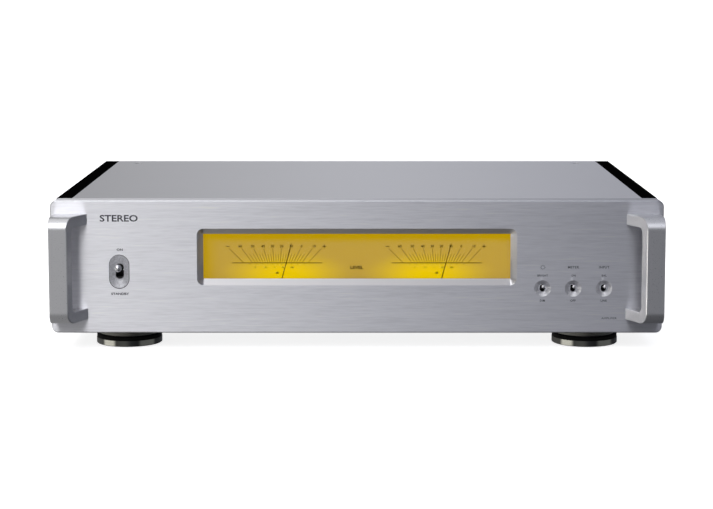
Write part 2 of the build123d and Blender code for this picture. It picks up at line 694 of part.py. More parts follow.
def wire(points, radius, bend):
    """Round lead along straight runs joined by arcs."""
    path = FilletPolyline(*points, radius=bend)
    start = Plane(origin=path @ 0, z_dir=path % 0)
    return sweep(start * Circle(radius), path=path)


def switch_lead(step):
    """Lead from the power switch over the left channel to the supply board."""
    x = POWER_X + 1.0
    y = -96.0 + 5.0 * step
    z = POWER_Z - 5.0 + 10.0 * step
    lane = -100.0 + 5.0 * step
    top = 94.0 - 5.0 * step
    end_x = -71.0 + 6.0 * step
    end_y = 108.0 - 6.0 * step
    points = [(x, -109.9, z), (x, y, z), (x, y, top), (lane, y, top), (lane, end_y, top)]
    return wire(points + [(end_x, end_y, top), (end_x, end_y, BOARD_Z[1])], LEAD_R, LEAD_BEND)


def inlet_lead(step):
    """Lead from a mains inlet pin to the supply board."""
    x, z = IEC_PINS[step]
    y = 107.0 + 7.0 * step
    end_x = -42.0 + 14.0 * step
    points = [(x, 125.9, z), (x, y, z), (end_x, y, z), (end_x, y, BOARD_Z[1])]
    return wire(points, LEAD_R, LEAD_BEND)


def make_mains_leads():
    return group([lead(step) for lead in (switch_lead, inlet_lead) for step in (0, 1)])


# ---- rear connectors -------------------------------------------------------
def make_iec_inlet_housing():
    """Mains inlet: flange, body and the cavity with its two chamfered corners."""
    flange = Pos(IEC_X, IEC_Z) * RectangleRounded(50.0, 24.5, 4.0)
    housing = prism_y(flange, (REAR_Y, REAR_Y + 3.0))
    housing += block((IEC_X - 13.8, IEC_X + 13.8), (131.0, REAR_Y), (IEC_Z - 9.9, IEC_Z + 9.9))
    cavity = Polyline(
        (IEC_X - 12.2, IEC_Z - 8.3),
        (IEC_X + 12.2, IEC_Z - 8.3),
        (IEC_X + 12.2, IEC_Z + 4.3),
        (IEC_X + 8.2, IEC_Z + 8.3),
        (IEC_X - 8.2, IEC_Z + 8.3),
        (IEC_X - 12.2, IEC_Z + 4.3),
        close=True,
    )
    housing -= prism_y(make_face(cavity), (137.5, REAR_Y + 3.0))
    for x, z in IEC_PINS:
        housing -= block((x - 1.0, x + 1.0), (131.0, 137.5), (z - 2.0, z + 2.0))
    for sign in SIDES.values():
        housing -= rod("y", (IEC_X + sign * 20.0, IEC_Z), (REAR_Y, REAR_Y + 3.0), 1.6)
    return housing


def make_iec_inlet_pins():
    return group([block((x - 1.0, x + 1.0), (126.0, 150.0), (z - 2.0, z + 2.0)) for x, z in IEC_PINS])


def make_xlr_housings():
    """Balanced input sockets: square flange and shell with a closed back."""
    sockets = []
    for x in XLR_XS:
        flange = Pos(x, XLR_Z) * RectangleRounded(26.0, 31.0, 3.0)
        socket = prism_y(flange, (REAR_Y, REAR_Y + 2.6))
        socket += rod("y", (x, XLR_Z), (134.0, REAR_Y), 11.8)
        socket -= rod("y", (x, XLR_Z), (138.0, REAR_Y + 2.6), 9.8)
        for sign in SIDES.values():
            socket -= rod("y", (x + sign * 9.5, XLR_Z + sign * 12.0), (REAR_Y, REAR_Y + 2.6), 1.6)
        sockets.append(socket)
    return group(sockets)


def make_xlr_inserts():
    """Insulating core of each balanced socket with its three contact holes."""
    cores = []
    for x in XLR_XS:
        core = rod("y", (x, XLR_Z), (138.0, REAR_Y + 1.6), 7.6)
        for angle in (-150.0, -30.0, 90.0):
            hole = (x + 4.3 * cos(radians(angle)), XLR_Z - 4.3 * sin(radians(angle)))
            core -= rod("y", hole, (141.5, REAR_Y + 1.6), 1.3)
        cores.append(core)
    return group(cores)


def make_rca_barrels():
    """Phono sockets: barrel, flange and solder end."""
    barrels = []
    for z in RCA_ZS:
        centre = (RCA_X, z)
        barrel = rod("y", centre, (134.0, 164.0), RCA_R)
        barrel += rod("y", centre, (REAR_Y + 1.2, REAR_Y + 2.2), 6.0)
        barrel -= rod("y", centre, (138.0, 164.0), 3.35)
        barrels.append(barrel)
    return group(barrels)


def make_rca_insulators():
    """Bush and washer round each phono socket, and the core inside it."""
    pieces = []
    for z in RCA_ZS:
        centre = (RCA_X, z)
        bush = rod("y", centre, (REAR_Y - 3.5, REAR_Y), 5.4) + rod("y", centre, (REAR_Y, REAR_Y + 1.2), 7.2)
        pieces.append(bush - rod("y", centre, (REAR_Y - 3.5, REAR_Y + 1.2), 4.2))
        pieces.append(rod("y", centre, (138.0, 163.6), 3.3) - rod("y", centre, (148.0, 163.6), 1.65))
    return group(pieces)


def make_rear_screws():
    """Screws of the rear panel, mains inlet, balanced sockets and mode switch."""
    screws = [screw("y", c, REAR_Y, 7.0, 1.5, 3.0, 1.8, -1) for c in REAR_SCREWS]
    for sign in SIDES.values():
        screws.append(screw("y", (IEC_X + sign * 20.0, IEC_Z), REAR_Y + 3.0, 9.0, 1.45, 2.8, 1.6, -1))
        screws.append(screw("y", (MODE_X + sign * 9.5, MODE_Z), REAR_Y, 6.0, 1.0, 1.9, 1.2, -1))
        for x in XLR_XS:
            centre = (x + sign * 9.5, XLR_Z + sign * 12.0)
            screws.append(screw("y", centre, REAR_Y + 2.6, 8.0, 1.45, 2.8, 1.6, -1))
    return group(screws)


def make_input_board():
    return block((100.0, 200.0), (132.4, 134.0), (32.0, 84.0))


def make_mode_switch_frame():
    """Slide switch body behind the rear panel."""
    frame = block((MODE_X - 13.0, MODE_X + 13.0), (REAR_Y0 - 1.2, REAR_Y0), (MODE_Z - 4.5, MODE_Z + 4.5))
    frame += block((MODE_X - 8.5, MODE_X + 8.5), (139.0, REAR_Y0 - 1.2), (MODE_Z - 4.5, MODE_Z + 4.5))
    frame -= block((MODE_X - 6.9, MODE_X + 6.9), (143.0, REAR_Y0), (MODE_Z - 2.9, MODE_Z + 2.9))
    for sign in SIDES.values():
        frame -= rod("y", (MODE_X + sign * 9.5, MODE_Z), (REAR_Y0 - 1.2, REAR_Y0), 1.1)
    return frame


def make_mode_slider():
    """Slider button, at the left end of its travel as seen from the front."""
    x0 = MODE_X - 6.4
    body = block((x0, x0 + 6.8), (143.3, REAR_Y0 - 0.6), (MODE_Z - 2.5, MODE_Z + 2.5))
    button = block((x0 + 1.2, x0 + 5.6), (REAR_Y0 - 0.6, REAR_Y + 2.6), (MODE_Z - 2.5, MODE_Z + 2.5))
    for step in range(3):
        x = x0 + 2.0 + 1.1 * step
        button -= block((x, x + 0.5), (REAR_Y + 2.2, REAR_Y + 2.6), (MODE_Z - 2.5, MODE_Z + 2.5))
    return body + button


def make_speaker_post_bases():
    bases = []
    for x in POST_XS.values():
        centre = (x, POST_Z)
        base = rod("y", centre, (REAR_Y, 157.0), 8.5) + rod("y", centre, (147.0, REAR_Y), 5.4)
        bases.append(base - rod("y", centre, (147.0, 157.0), STUD_R + 0.02))
    return group(bases)


def make_speaker_post_studs():
    """Threaded posts with a plug bore, a cross hole for wire and a nut inside the panel."""
    studs = []
    for x in POST_XS.values():
        centre = (x, POST_Z)
        stud = rod("y", centre, (136.0, STUD_END_Y), STUD_R)
        nut = Pos(x, POST_Z) * RegularPolygon(6.2, 6)
        stud += prism_y(nut, (143.0, 147.0))
        stud -= rod("y", centre, (STUD_END_Y - 17.0, STUD_END_Y), BANANA_R)
        stud -= rod("z", (x, 160.2), (POST_Z - STUD_R, POST_Z + STUD_R), 1.5)
        studs.append(stud)
    return group(studs)


def make_clamp_washer(x):
    return tube("y", (x, POST_Z), WASHER_Y, 6.4, STUD_R + 0.06)


def make_terminal_knob(x):
    """Grip with scalloped sides that turns on the stud's thread."""
    centre = (x, POST_Z)
    knob = rod("y", centre, KNOB_Y, 7.6)
    knob = chamfer(knob.edges(), 0.6)
    for step in range(12):
        angle = 2 * pi * step / 12
        flute = (x + 8.3 * cos(angle), POST_Z + 8.3 * sin(angle))
        knob -= rod("y", flute, (KNOB_Y[0] + 2.5, KNOB_Y[1]), 1.3)
    return knob - rod("y", centre, KNOB_Y, STUD_R + 0.06)


# ---- assembly --------------------------------------------------------------
def cabinet_parts():
    parts = {
        "front_panel": make_front_panel(),
        "chassis_base": make_chassis_base(),
        "top_cover": make_top_cover(),
        "top_cover_screws": make_top_cover_screws(),
        "rear_panel": make_rear_panel(),
        "rear_screws": make_rear_screws(),
        "chassis_fixings": make_chassis_fixings(),
        "inner_screws": make_inner_screws(),
        "spacers": make_spacers(),
        "feet_upper_discs": group(at_feet(foot_upper_disc)),
        "feet_dampers": group(at_feet(foot_damper)),
        "feet_rings": group(at_feet(foot_ring)),
        "feet_pads": group(at_feet(foot_pad)),
    }
    for side, sign in SIDES.items():
        parts[f"handle_{side}"] = make_handle(sign)
        parts[f"side_panel_{side}"] = make_side_panel(sign)
    return parts


def front_parts():
    parts = {
        "window_pane": make_window_pane(),
        "power_switch_dish": make_power_switch_dish(),
        "switch_bodies": make_switch_bodies(),
        "power_lever": make_power_lever(),
        "front_control_board": make_front_control_board(),
        "meter_housing": make_meter_housing(),
        "meter_dial": make_meter_dial(),
        "meter_light_board": make_meter_light_board(),
        "meter_movements": make_meter_movements(),
    }
    for name, x in TOGGLE_XS.items():
        parts[f"{name}_lever"] = make_small_lever(x)
    for side, sign in SIDES.items():
        parts[f"needle_{side}"] = make_needle(sign)
    return parts


def inner_parts():
    return {
        "transformer": make_transformer(),
        "transformer_clamp": make_transformer_clamp(),
        "power_supply_board": make_power_supply_board(),
        "reservoir_capacitors": make_reservoir_capacitors(),
        "amplifier_boards": make_amplifier_boards(),
        "heat_spreaders": make_heat_spreaders(),
        "power_semiconductors": make_power_semiconductors(),
        "board_components": make_board_components(),
        "relays": make_relays(),
        "input_board": make_input_board(),
        "mains_leads": make_mains_leads(),
    }


def rear_parts():
    parts = {
        "iec_inlet_housing": make_iec_inlet_housing(),
        "iec_inlet_pins": make_iec_inlet_pins(),
        "xlr_housings": make_xlr_housings(),
        "xlr_inserts": make_xlr_inserts(),
        "rca_barrels": make_rca_barrels(),
        "rca_insulators": make_rca_insulators(),
        "mode_switch_frame": make_mode_switch_frame(),
        "mode_slider": make_mode_slider(),
        "speaker_post_bases": make_speaker_post_bases(),
        "speaker_post_studs": make_speaker_post_studs(),
    }
    for name, x in POST_XS.items():
        parts[f"terminal_washer_{name}"] = make_clamp_washer(x)
        parts[f"terminal_knob_{name}"] = make_terminal_knob(x)
    return parts


def main():
    os.makedirs("parts", exist_ok=True)
    parts = {**cabinet_parts(), **front_parts(), **inner_parts(), **rear_parts()}
    for name, shape in parts.items():
        export_step(shape, f"parts/{name}.step")


main()
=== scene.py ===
import math

import bmesh
import bpy
from mathutils import Matrix, Vector


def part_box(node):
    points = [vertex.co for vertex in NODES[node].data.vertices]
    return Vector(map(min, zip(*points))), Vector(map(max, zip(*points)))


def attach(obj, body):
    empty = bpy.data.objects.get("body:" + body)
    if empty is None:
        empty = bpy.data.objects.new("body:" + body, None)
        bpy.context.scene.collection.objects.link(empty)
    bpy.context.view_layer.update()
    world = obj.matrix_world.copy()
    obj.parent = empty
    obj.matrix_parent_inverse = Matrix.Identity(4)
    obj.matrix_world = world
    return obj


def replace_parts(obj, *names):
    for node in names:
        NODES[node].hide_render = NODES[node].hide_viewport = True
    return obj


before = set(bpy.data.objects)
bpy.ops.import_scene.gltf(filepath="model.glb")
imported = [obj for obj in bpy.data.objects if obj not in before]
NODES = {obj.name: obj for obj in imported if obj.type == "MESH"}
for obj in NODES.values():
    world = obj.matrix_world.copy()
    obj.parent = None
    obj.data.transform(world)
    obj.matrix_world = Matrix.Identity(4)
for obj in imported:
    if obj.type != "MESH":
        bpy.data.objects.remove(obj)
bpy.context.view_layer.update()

MM = 0.001

# ---- camera ----------------------------------------------------------------
CAMERA_PLACE = (0.0008, -1.5525, 0.2728)
CAMERA_PITCH_DEG = 6.731       # looking down
LENS_MM = 98.84
SHIFT_X = -0.0021
SHIFT_Y = -0.07                # most of a shift lens's tilt correction stays as pitch


def make_camera():
    data = bpy.data.cameras.new("camera")
    data.lens = LENS_MM
    data.sensor_width = 36.0
    data.shift_x = SHIFT_X
    data.shift_y = SHIFT_Y
    data.clip_start = 0.05
    data.clip_end = 60.0
    camera = bpy.data.objects.new("camera", data)
    camera.location = CAMERA_PLACE
    camera.rotation_euler = (math.radians(90.0 - CAMERA_PITCH_DEG), 0.0, 0.0)
    bpy.context.scene.collection.objects.link(camera)
    bpy.context.scene.camera = camera


# ---- node helpers ----------------------------------------------------------
class Nodes:
    """Adds shader nodes to a tree; an input may be a value or another node's socket."""

    def __init__(self, tree):
        self.tree = tree

    def add(self, kind, inputs=None, **settings):
        node = self.tree.nodes.new(kind)
        for name, value in settings.items():
            setattr(node, name, value)
        for key, value in (inputs or {}).items():
            self.feed(node, key, value)
        return node

    def feed(self, node, key, value):
        if isinstance(value, bpy.types.NodeSocket):
            self.tree.links.new(value, node.inputs[key])
        else:
            node.inputs[key].default_value = value

    def math(self, operation, a, b=0.0, clamp=False):
        node = self.add("ShaderNodeMath", {0: a, 1: b}, operation=operation, use_clamp=clamp)
        return node.outputs[0]

    def remap(self, value, low, high, to_low=0.0, to_high=1.0, smooth=False):
        kind = "SMOOTHSTEP" if smooth else "LINEAR"
        inputs = {"Value": value, "From Min": low, "From Max": high, "To Min": to_low, "To Max": to_high}
        return self.add("ShaderNodeMapRange", inputs, interpolation_type=kind).outputs["Result"]

    def mix(self, factor, a, b):
        """Blend of two numbers."""
        node = self.add("ShaderNodeMix", {"Factor": factor, 2: a, 3: b}, data_type="FLOAT")
        return node.outputs[0]

    def mix_color(self, factor, a, b, blend="MIX"):
        node = self.add("ShaderNodeMix", data_type="RGBA", blend_type=blend)
        self.feed(node, 0, factor)
        self.feed(node, 6, a if isinstance(a, bpy.types.NodeSocket) else (*a, 1.0))
        self.feed(node, 7, b if isinstance(b, bpy.types.NodeSocket) else (*b, 1.0))
        return node.outputs[2]

    def object_place(self):
        return self.add("ShaderNodeTexCoord").outputs["Object"]

    def noise(self, place, scale, detail=3.0, stretch=(1.0, 1.0, 1.0), roughness=0.5):
        """Noise value around 0.5; scale is in cycles per metre, stretch multiplies it per axis."""
        mapping = self.add("ShaderNodeMapping", {"Vector": place, "Scale": stretch})
        inputs = {"Vector": mapping.outputs[0], "Scale": scale, "Detail": detail, "Roughness": roughness}
        return self.add("ShaderNodeTexNoise", inputs).outputs["Fac"]

    def bump(self, height, strength, distance):
        inputs = {"Height": height, "Strength": strength, "Distance": distance}
        return self.add("ShaderNodeBump", inputs).outputs["Normal"]


def principled(name, color, metallic=0.0, roughness=0.5, **constants):
    """New material, its node builder and its Principled shader with constant sockets set."""
    material = bpy.data.materials.new(name)
    material.use_nodes = True
    shader = material.node_tree.nodes["Principled BSDF"]
    shader.inputs["Base Color"].default_value = (*color, 1.0)
    shader.inputs["Metallic"].default_value = metallic
    shader.inputs["Roughness"].default_value = roughness
    for socket, value in constants.items():
        shader.inputs[socket.replace("_", " ")].default_value = value
    return material, Nodes(material.node_tree), shader


def shade(color, factor):
    return tuple(channel * factor for channel in color)


# ---- materials -------------------------------------------------------------
def grained(
    name, color, metallic, roughness, grain, spread=0.05, bump_mm=0.02, rough_spread=0.06, **constants
):
    """General finish: fine grain in colour, roughness and bump, plus a broad tonal drift."""
    material, n, shader = principled(name, color, metallic, roughness, **constants)
    place = n.object_place()
    fine = n.noise(place, grain, 4.0)
    broad = n.noise(place, 9.0, 2.0)
    tone = n.math("ADD", n.math("MULTIPLY", fine, 0.7), n.math("MULTIPLY", broad, 0.3))
    n.feed(shader, "Base Color", n.mix_color(tone, shade(color, 1.0 - spread), shade(color, 1.0 + spread)))
    n.feed(shader, "Roughness", n.remap(fine, 0.25, 0.75, roughness - rough_spread, roughness + rough_spread))
    n.feed(shader, "Normal", n.bump(fine, 0.6, bump_mm * MM))
    return material


DISH_ZONE_X = 122.0 * MM        # the small toggles' dishes lie beyond this, at this height
DISH_ZONE_Z = 45.7 * MM
DISH_ZONE_HALF = 12.0 * MM


def brushed_panel():
    """Horizontal brushing on the flat face, turned dishes, and painted shade: the upward top faces and the
    downward lower edges are darkened.
    """
    color = (0.92, 0.92, 0.96)
    material, n, shader = principled("front_aluminium", color, 1.0, 0.42, Anisotropic=1.0)
    place = n.object_place()
    lines = n.noise(place, 1.0, 4.0, (60.0, 1.0, 950.0), 0.6)
    bands = n.noise(place, 1.0, 3.0, (14.0, 1.0, 320.0), 0.55)
    streak = n.math("ADD", n.math("MULTIPLY", lines, 0.6), n.math("MULTIPLY", bands, 0.4))
    normal = n.add("ShaderNodeNewGeometry").outputs["True Normal"]
    split = n.add("ShaderNodeSeparateXYZ", {0: normal})
    face = n.remap(split.outputs["Y"], -0.97, -0.999)
    # painted shade: downward faces, the lower edge chamfers, are darkened to draw a dark line along the
    # panel's bottom
    painted_underside_shade = n.remap(split.outputs["Z"], -0.4, -0.7, 0.0, -0.45)
    # painted shade: upward faces, the panel's top face, are darkened
    upper = n.remap(split.outputs["Z"], 0.9, 0.99, 0.0, -0.42)
    edges = n.math("ADD", n.math("ADD", painted_underside_shade, upper), 1.0)
    tone = n.remap(streak, 0.2, 0.8, -0.17, 0.17)
    # brushing grain on the flat face, plus the painted shade on the upward and downward faces
    tone = n.math("ADD", n.math("MULTIPLY", tone, face), edges)
    tinted = n.add("ShaderNodeVectorMath", {0: color, "Scale": tone}, operation="SCALE")
    n.feed(shader, "Base Color", tinted.outputs[0])
    rough = n.remap(streak, 0.2, 0.8, 0.37, 0.47)
    n.feed(shader, "Roughness", n.mix(face, 0.45, rough))
    spot = n.add("ShaderNodeSeparateXYZ", {0: place})
    beside = n.math("GREATER_THAN", spot.outputs["X"], DISH_ZONE_X)
    level = n.math("COMPARE", spot.outputs["Z"], DISH_ZONE_Z)
    level.node.inputs[2].default_value = DISH_ZONE_HALF
    dish = n.math("MULTIPLY", n.math("MULTIPLY", beside, level), n.math("SUBTRACT", 1.0, face))
    upright = n.add("ShaderNodeTangent", direction_type="RADIAL", axis="X").outputs[0]
    round_axis = n.add("ShaderNodeVectorMath", {0: normal, 1: (0.0, 1.0, 0.0)}, operation="CROSS_PRODUCT")
    choice = {"Factor": dish, 4: upright, 5: round_axis.outputs[0]}
    tangent = n.add("ShaderNodeMix", choice, data_type="VECTOR")
    n.feed(shader, "Tangent", tangent.outputs[1])
    height = n.math("MULTIPLY", streak, face)
    n.feed(shader, "Normal", n.bump(height, 0.35, 0.01 * MM))
    return material


def satin_aluminium():
    """Handles: fine satin finish, edges slightly brighter through their own chamfers."""
    return grained("handle_aluminium", (0.80, 0.80, 0.82), 1.0, 0.30, 1500.0, 0.025, 0.004, 0.04)


def blasted_cover():
    """Matte top cover with a fine blasted grain."""
    return grained("cover_aluminium", (0.76, 0.76, 0.79), 1.0, 0.38, 2200.0, 0.05, 0.012, 0.05)


def black_extrusion():
    """Black anodised sides: painted shade keeps the upward faces dead black, and the upright ribs are painted
    lighter, with uneven grain and drawn streaks.
    """
    color = (0.006, 0.006, 0.006)
    material, n, shader = principled("black_extrusion", color, 0.0, 0.6, Specular_IOR_Level=0.0)
    place = n.object_place()
    grain = n.noise(place, 1600.0, 4.0)
    drawn = n.noise(place, 1.0, 3.0, (900.0, 12.0, 900.0))
    normal = n.add("ShaderNodeSeparateXYZ", {0: n.add("ShaderNodeNewGeometry").outputs["True Normal"]})
    # painted shade mask: 0 on upward faces, 1 on upright faces
    upright = n.remap(normal.outputs["Z"], 0.95, 0.6)
    tone = n.math("ADD", n.math("MULTIPLY", grain, 0.5), n.math("MULTIPLY", drawn, 0.5))
    rib_grain_and_painted_light = n.mix_color(tone, (0.008, 0.008, 0.009), (0.020, 0.020, 0.022))
    # painted shade and light: upward faces dead black, upright ribs lighter so that their shape shows
    n.feed(shader, "Base Color", n.mix_color(upright, (0.002, 0.002, 0.002), rib_grain_and_painted_light))
    n.feed(shader, "Roughness", n.remap(grain, 0.25, 0.75, 0.52, 0.68))
    n.feed(shader, "Normal", n.bump(tone, 0.5, 0.012 * MM))
    return material


def turned_metal(name, color, roughness):
    """Lathe-turned finish: fine rings round each foot's axis."""
    material, n, shader = principled(name, color, 1.0, roughness)
    height = n.noise(n.object_place(), 1.0, 3.0, (60.0, 60.0, 2500.0))
    n.feed(shader, "Base Color", n.mix_color(height, shade(color, 0.9), shade(color, 1.1)))
    n.feed(shader, "Roughness", n.remap(height, 0.25, 0.75, roughness - 0.04, roughness + 0.06))
    n.feed(shader, "Normal", n.bump(height, 0.3, 0.008 * MM))
    return material


DIAL_GLOW_X = 52.5 * MM         # middle of each meter's lamp glow
DIAL_GLOW_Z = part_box("meter_dial")[0].z + 5.0 * MM
DIAL_GLOW_HALF_W = 40.0 * MM
DIAL_GLOW_HALF_H = 15.5 * MM
AMBER_TOP = (15.0 * MM, 9.5 * MM)    # below the dial's top: where the amber band starts and is full
DIAL_BRIGHT = (0.76, 0.52, 0.0)
DIAL_MID = (0.425, 0.275, 0.047)
DIAL_EDGE = (0.43, 0.265, 0.0)


def dial_face():
    """Back-lit yellow dial: brightest low in each meter, deep amber at the top and the left end."""
    material, n, shader = principled("dial", (0.10, 0.065, 0.001), 0.0, 0.6, Specular_IOR_Level=0.0)
    split = n.add("ShaderNodeSeparateXYZ", {0: n.object_place()})
    low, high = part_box("meter_dial")
    x, z = split.outputs["X"], split.outputs["Z"]
    fold = n.math("ABSOLUTE", x)
    from_meter = n.math("ABSOLUTE", n.math("SUBTRACT", fold, DIAL_GLOW_X))
    from_lamp = n.math("SUBTRACT", z, DIAL_GLOW_Z)
    wide = n.math("DIVIDE", from_meter, DIAL_GLOW_HALF_W)
    tall = n.math("DIVIDE", from_lamp, DIAL_GLOW_HALF_H)
    reach = n.math("SQRT", n.math("ADD", n.math("MULTIPLY", wide, wide), n.math("MULTIPLY", tall, tall)))
    glow = n.remap(reach, 0.15, 1.35, 1.0, 0.0, smooth=True)
    edge = n.remap(x, low.x * 0.83, low.x * 0.96, smooth=True)
    top = n.remap(z, high.z - AMBER_TOP[0], high.z - AMBER_TOP[1], smooth=True)
    rim = n.math("MAXIMUM", edge, top)
    color = n.mix_color(glow, DIAL_MID, DIAL_BRIGHT)
    color = n.mix_color(n.math("MULTIPLY", rim, n.math("SUBTRACT", 1.0, glow)), color, DIAL_EDGE)
    grain = n.noise(n.object_place(), 900.0, 3.0)
    speck = n.remap(grain, 0.3, 0.7, 0.985, 1.015)
    speckled = n.add("ShaderNodeVectorMath", {0: color, "Scale": speck}, operation="SCALE")
    n.feed(shader, "Emission Color", speckled.outputs[0])
    shader.inputs["Emission Strength"].default_value = 1.0
    n.feed(shader, "Roughness", n.remap(grain, 0.3, 0.7, 0.5, 0.7))
    return material


def clear_pane():
    material, n, shader = principled("pane", (1.0, 1.0, 1.0), 0.0, 0.02, Transmission_Weight=1.0, IOR=1.1)
    smear = n.noise(n.object_place(), 30.0, 2.0)
    n.feed(shader, "Roughness", n.remap(smear, 0.3, 0.7, 0.0, 0.015))
    return material


def circuit_board():
    material, n, shader = principled("circuit_board", (0.02, 0.16, 0.06), 0.0, 0.35, Coat_Weight=0.3)
    place = n.object_place()
    tracks = n.noise(place, 260.0, 1.0)
    mask = n.remap(tracks, 0.5, 0.52)
    n.feed(shader, "Base Color", n.mix_color(mask, (0.012, 0.10, 0.04), (0.03, 0.19, 0.08)))
    n.feed(shader, "Normal", n.bump(mask, 0.4, 0.03 * MM))
    return material


def winding():
    material, n, shader = principled("winding", (0.45, 0.33, 0.06), 0.0, 0.45)
    place = n.object_place()
    turns = n.noise(place, 1.0, 2.0, (900.0, 900.0, 40.0))
    n.feed(shader, "Base Color", n.mix_color(turns, (0.30, 0.20, 0.03), (0.58, 0.44, 0.10)))
    n.feed(shader, "Normal", n.bump(turns, 0.8, 0.1 * MM))
    return material


def ink(name, color):
    """Printed legend: dead matte ink with a slight unevenness."""
    return grained(name, color, 0.0, 0.7, 3000.0, 0.08, 0.002, Specular_IOR_Level=0.0)


def dress_nodes():
    """Give every CAD node its finish."""
    black_plastic = grained("black_plastic", (0.022, 0.022, 0.024), 0.0, 0.42, 1800.0, 0.2, 0.01)
    red_plastic = grained("red_plastic", (0.32, 0.008, 0.008), 0.0, 0.38, 1800.0, 0.1, 0.01)
    white_plastic = grained("white_plastic", (0.78, 0.78, 0.75), 0.0, 0.45, 1500.0, 0.03, 0.01)
    black_steel = grained("black_steel", (0.018, 0.018, 0.02), 0.0, 0.5, 1300.0, 0.35, 0.05)
    zinc = grained("zinc_steel", (0.60, 0.60, 0.57), 1.0, 0.38, 300.0, 0.10, 0.01)
    sheet = grained("chassis_steel", (0.42, 0.43, 0.43), 1.0, 0.42, 90.0, 0.16, 0.004)
    black_screw = grained("black_screw", (0.05, 0.05, 0.052), 1.0, 0.35, 1500.0, 0.2, 0.01)
    bright_screw = grained("cover_screw", (0.66, 0.66, 0.68), 1.0, 0.24, 1500.0, 0.1, 0.005)
    chrome = grained("lever_chrome", (0.88, 0.88, 0.90), 1.0, 0.07, 700.0, 0.02, 0.001, 0.02)
    nickel = grained("nickel", (0.62, 0.61, 0.57), 1.0, 0.25, 900.0, 0.06, 0.005)
    gold = grained("gold", (0.86, 0.62, 0.25), 1.0, 0.2, 900.0, 0.06, 0.004)
    extrusion = black_extrusion()
    dish = grained("switch_dish", (0.62, 0.62, 0.65), 0.8, 0.6, 1000.0, 0.8, 0.05)
    rubber = grained("rubber", (0.02, 0.02, 0.02), 0.0, 0.8, 1200.0, 0.2, 0.03)
    foot_color = (0.002, 0.002, 0.002)
    foot_black = grained("foot_black", foot_color, 0.0, 0.5, 1500.0, 0.2, 0.006, Specular_IOR_Level=0.05)
    foot_silver = turned_metal("foot_silver", (0.85, 0.83, 0.74), 0.3)
    foot_nickel = turned_metal("foot_nickel", (0.125, 0.125, 0.115), 0.1)
    needle = ink("needle", (0.035, 0.018, 0.004))
    inner = grained("inner_aluminium", (0.62, 0.62, 0.64), 1.0, 0.35, 600.0, 0.08, 0.01)
    component = grained("component", (0.66, 0.62, 0.54), 0.0, 0.6, 900.0, 0.1, 0.03)
    sleeve = grained("capacitor_sleeve", (0.02, 0.022, 0.03), 0.0, 0.3, 500.0, 0.15, 0.01)
    lead = grained("lead", (0.03, 0.03, 0.03), 0.0, 0.4, 1200.0, 0.2, 0.01)
    satin = satin_aluminium()
    board = circuit_board()
    looks = {
        "front_panel": brushed_panel(),
        "handle_left": satin,
        "handle_right": satin,
        "top_cover": blasted_cover(),
        "side_panel_left": extrusion,
        "side_panel_right": extrusion,
        "power_switch_dish": dish,
        "heat_spreaders": inner,
        "power_lever": chrome,
        "dimmer_lever": chrome,
        "meter_lever": chrome,
        "input_lever": chrome,
        "feet_upper_discs": foot_silver,
        "feet_dampers": foot_black,
        "feet_rings": foot_nickel,
        "feet_pads": rubber,
        "chassis_base": sheet,
        "rear_panel": black_steel,
        "rear_screws": black_screw,
        "top_cover_screws": bright_screw,
        "window_pane": clear_pane(),
        "meter_dial": dial_face(),
        "needle_left": needle,
        "needle_right": needle,
        "meter_housing": white_plastic,
        "rca_insulators": white_plastic,
        "rca_barrels": gold,
        "speaker_post_studs": gold,
        "xlr_housings": nickel,
        "iec_inlet_pins": nickel,
        "transformer": winding(),
        "board_components": component,
        "reservoir_capacitors": sleeve,
        "mains_leads": lead,
    }
    for name in ("chassis_fixings", "inner_screws", "spacers", "transformer_clamp"):
        looks[name] = zinc
    for name in NODES:
        if name.endswith("_board") or name.endswith("_boards"):
            looks[name] = board
        if name.startswith("terminal_washer"):
            looks[name] = gold
        if name.startswith("terminal_knob"):
            looks[name] = red_plastic if name.endswith("plus") else black_plastic
    for name, node in NODES.items():
        node.data.materials.clear()
        node.data.materials.append(looks.get(name, black_plastic))


# ---- printed marks ---------------------------------------------------------
FRONT = Matrix(((1, 0, 0), (0, 0, -1), (0, 1, 0))).to_4x4()
REAR = Matrix(((-1, 0, 0), (0, 0, 1), (0, 1, 0))).to_4x4()
INK_T = 0.03 * MM


def add_text(bm, text, place, height, turn=FRONT, width=None, spacing=1.0, bold=0.0):
    """Add lettering centred on a place, with a cap height and, if given, a total width and extra boldness."""
    curve = bpy.data.curves.new("lettering", "FONT")
    curve.body = text
    curve.align_x = "CENTER"
    curve.align_y = "CENTER"
    curve.size = height / 0.7
    curve.space_character = spacing
    curve.extrude = INK_T
    curve.offset = bold * MM
    curve.resolution_u = 3
    item = bpy.data.objects.new("lettering", curve)
    mesh = bpy.data.meshes.new_from_object(item)
    xs = [v.co.x for v in mesh.vertices]
    stretch = width / (max(xs) - min(xs)) if width else 1.0
    mesh.transform(Matrix.Translation(place) @ turn @ Matrix.Diagonal((stretch, 1.0, 1.0, 1.0)))
    bm.from_mesh(mesh)
    bpy.data.meshes.remove(mesh)
    bpy.data.objects.remove(item)
    bpy.data.curves.remove(curve)


def add_bar(bm, start, end, width, y, depth=INK_T):
    """Add a thin straight mark between two points given in X and Z."""
    run = Vector((end[0] - start[0], 0.0, end[1] - start[1]))
    across = Vector((-run.z, 0.0, run.x)).normalized() * (width / 2)
    corners = []
    for base in (Vector((start[0], y, start[1])), Vector((end[0], y, end[1]))):
        for side in (-1, 1):
            for back in (0.0, depth):
                corners.append(bm.verts.new(base + across * side + Vector((0.0, back, 0.0))))
    for face in ((0, 1, 3, 2), (4, 6, 7, 5), (0, 4, 5, 1), (2, 3, 7, 6), (0, 2, 6, 4), (1, 5, 7, 3)):
        bm.faces.new([corners[i] for i in face])


RING_STEPS = 32


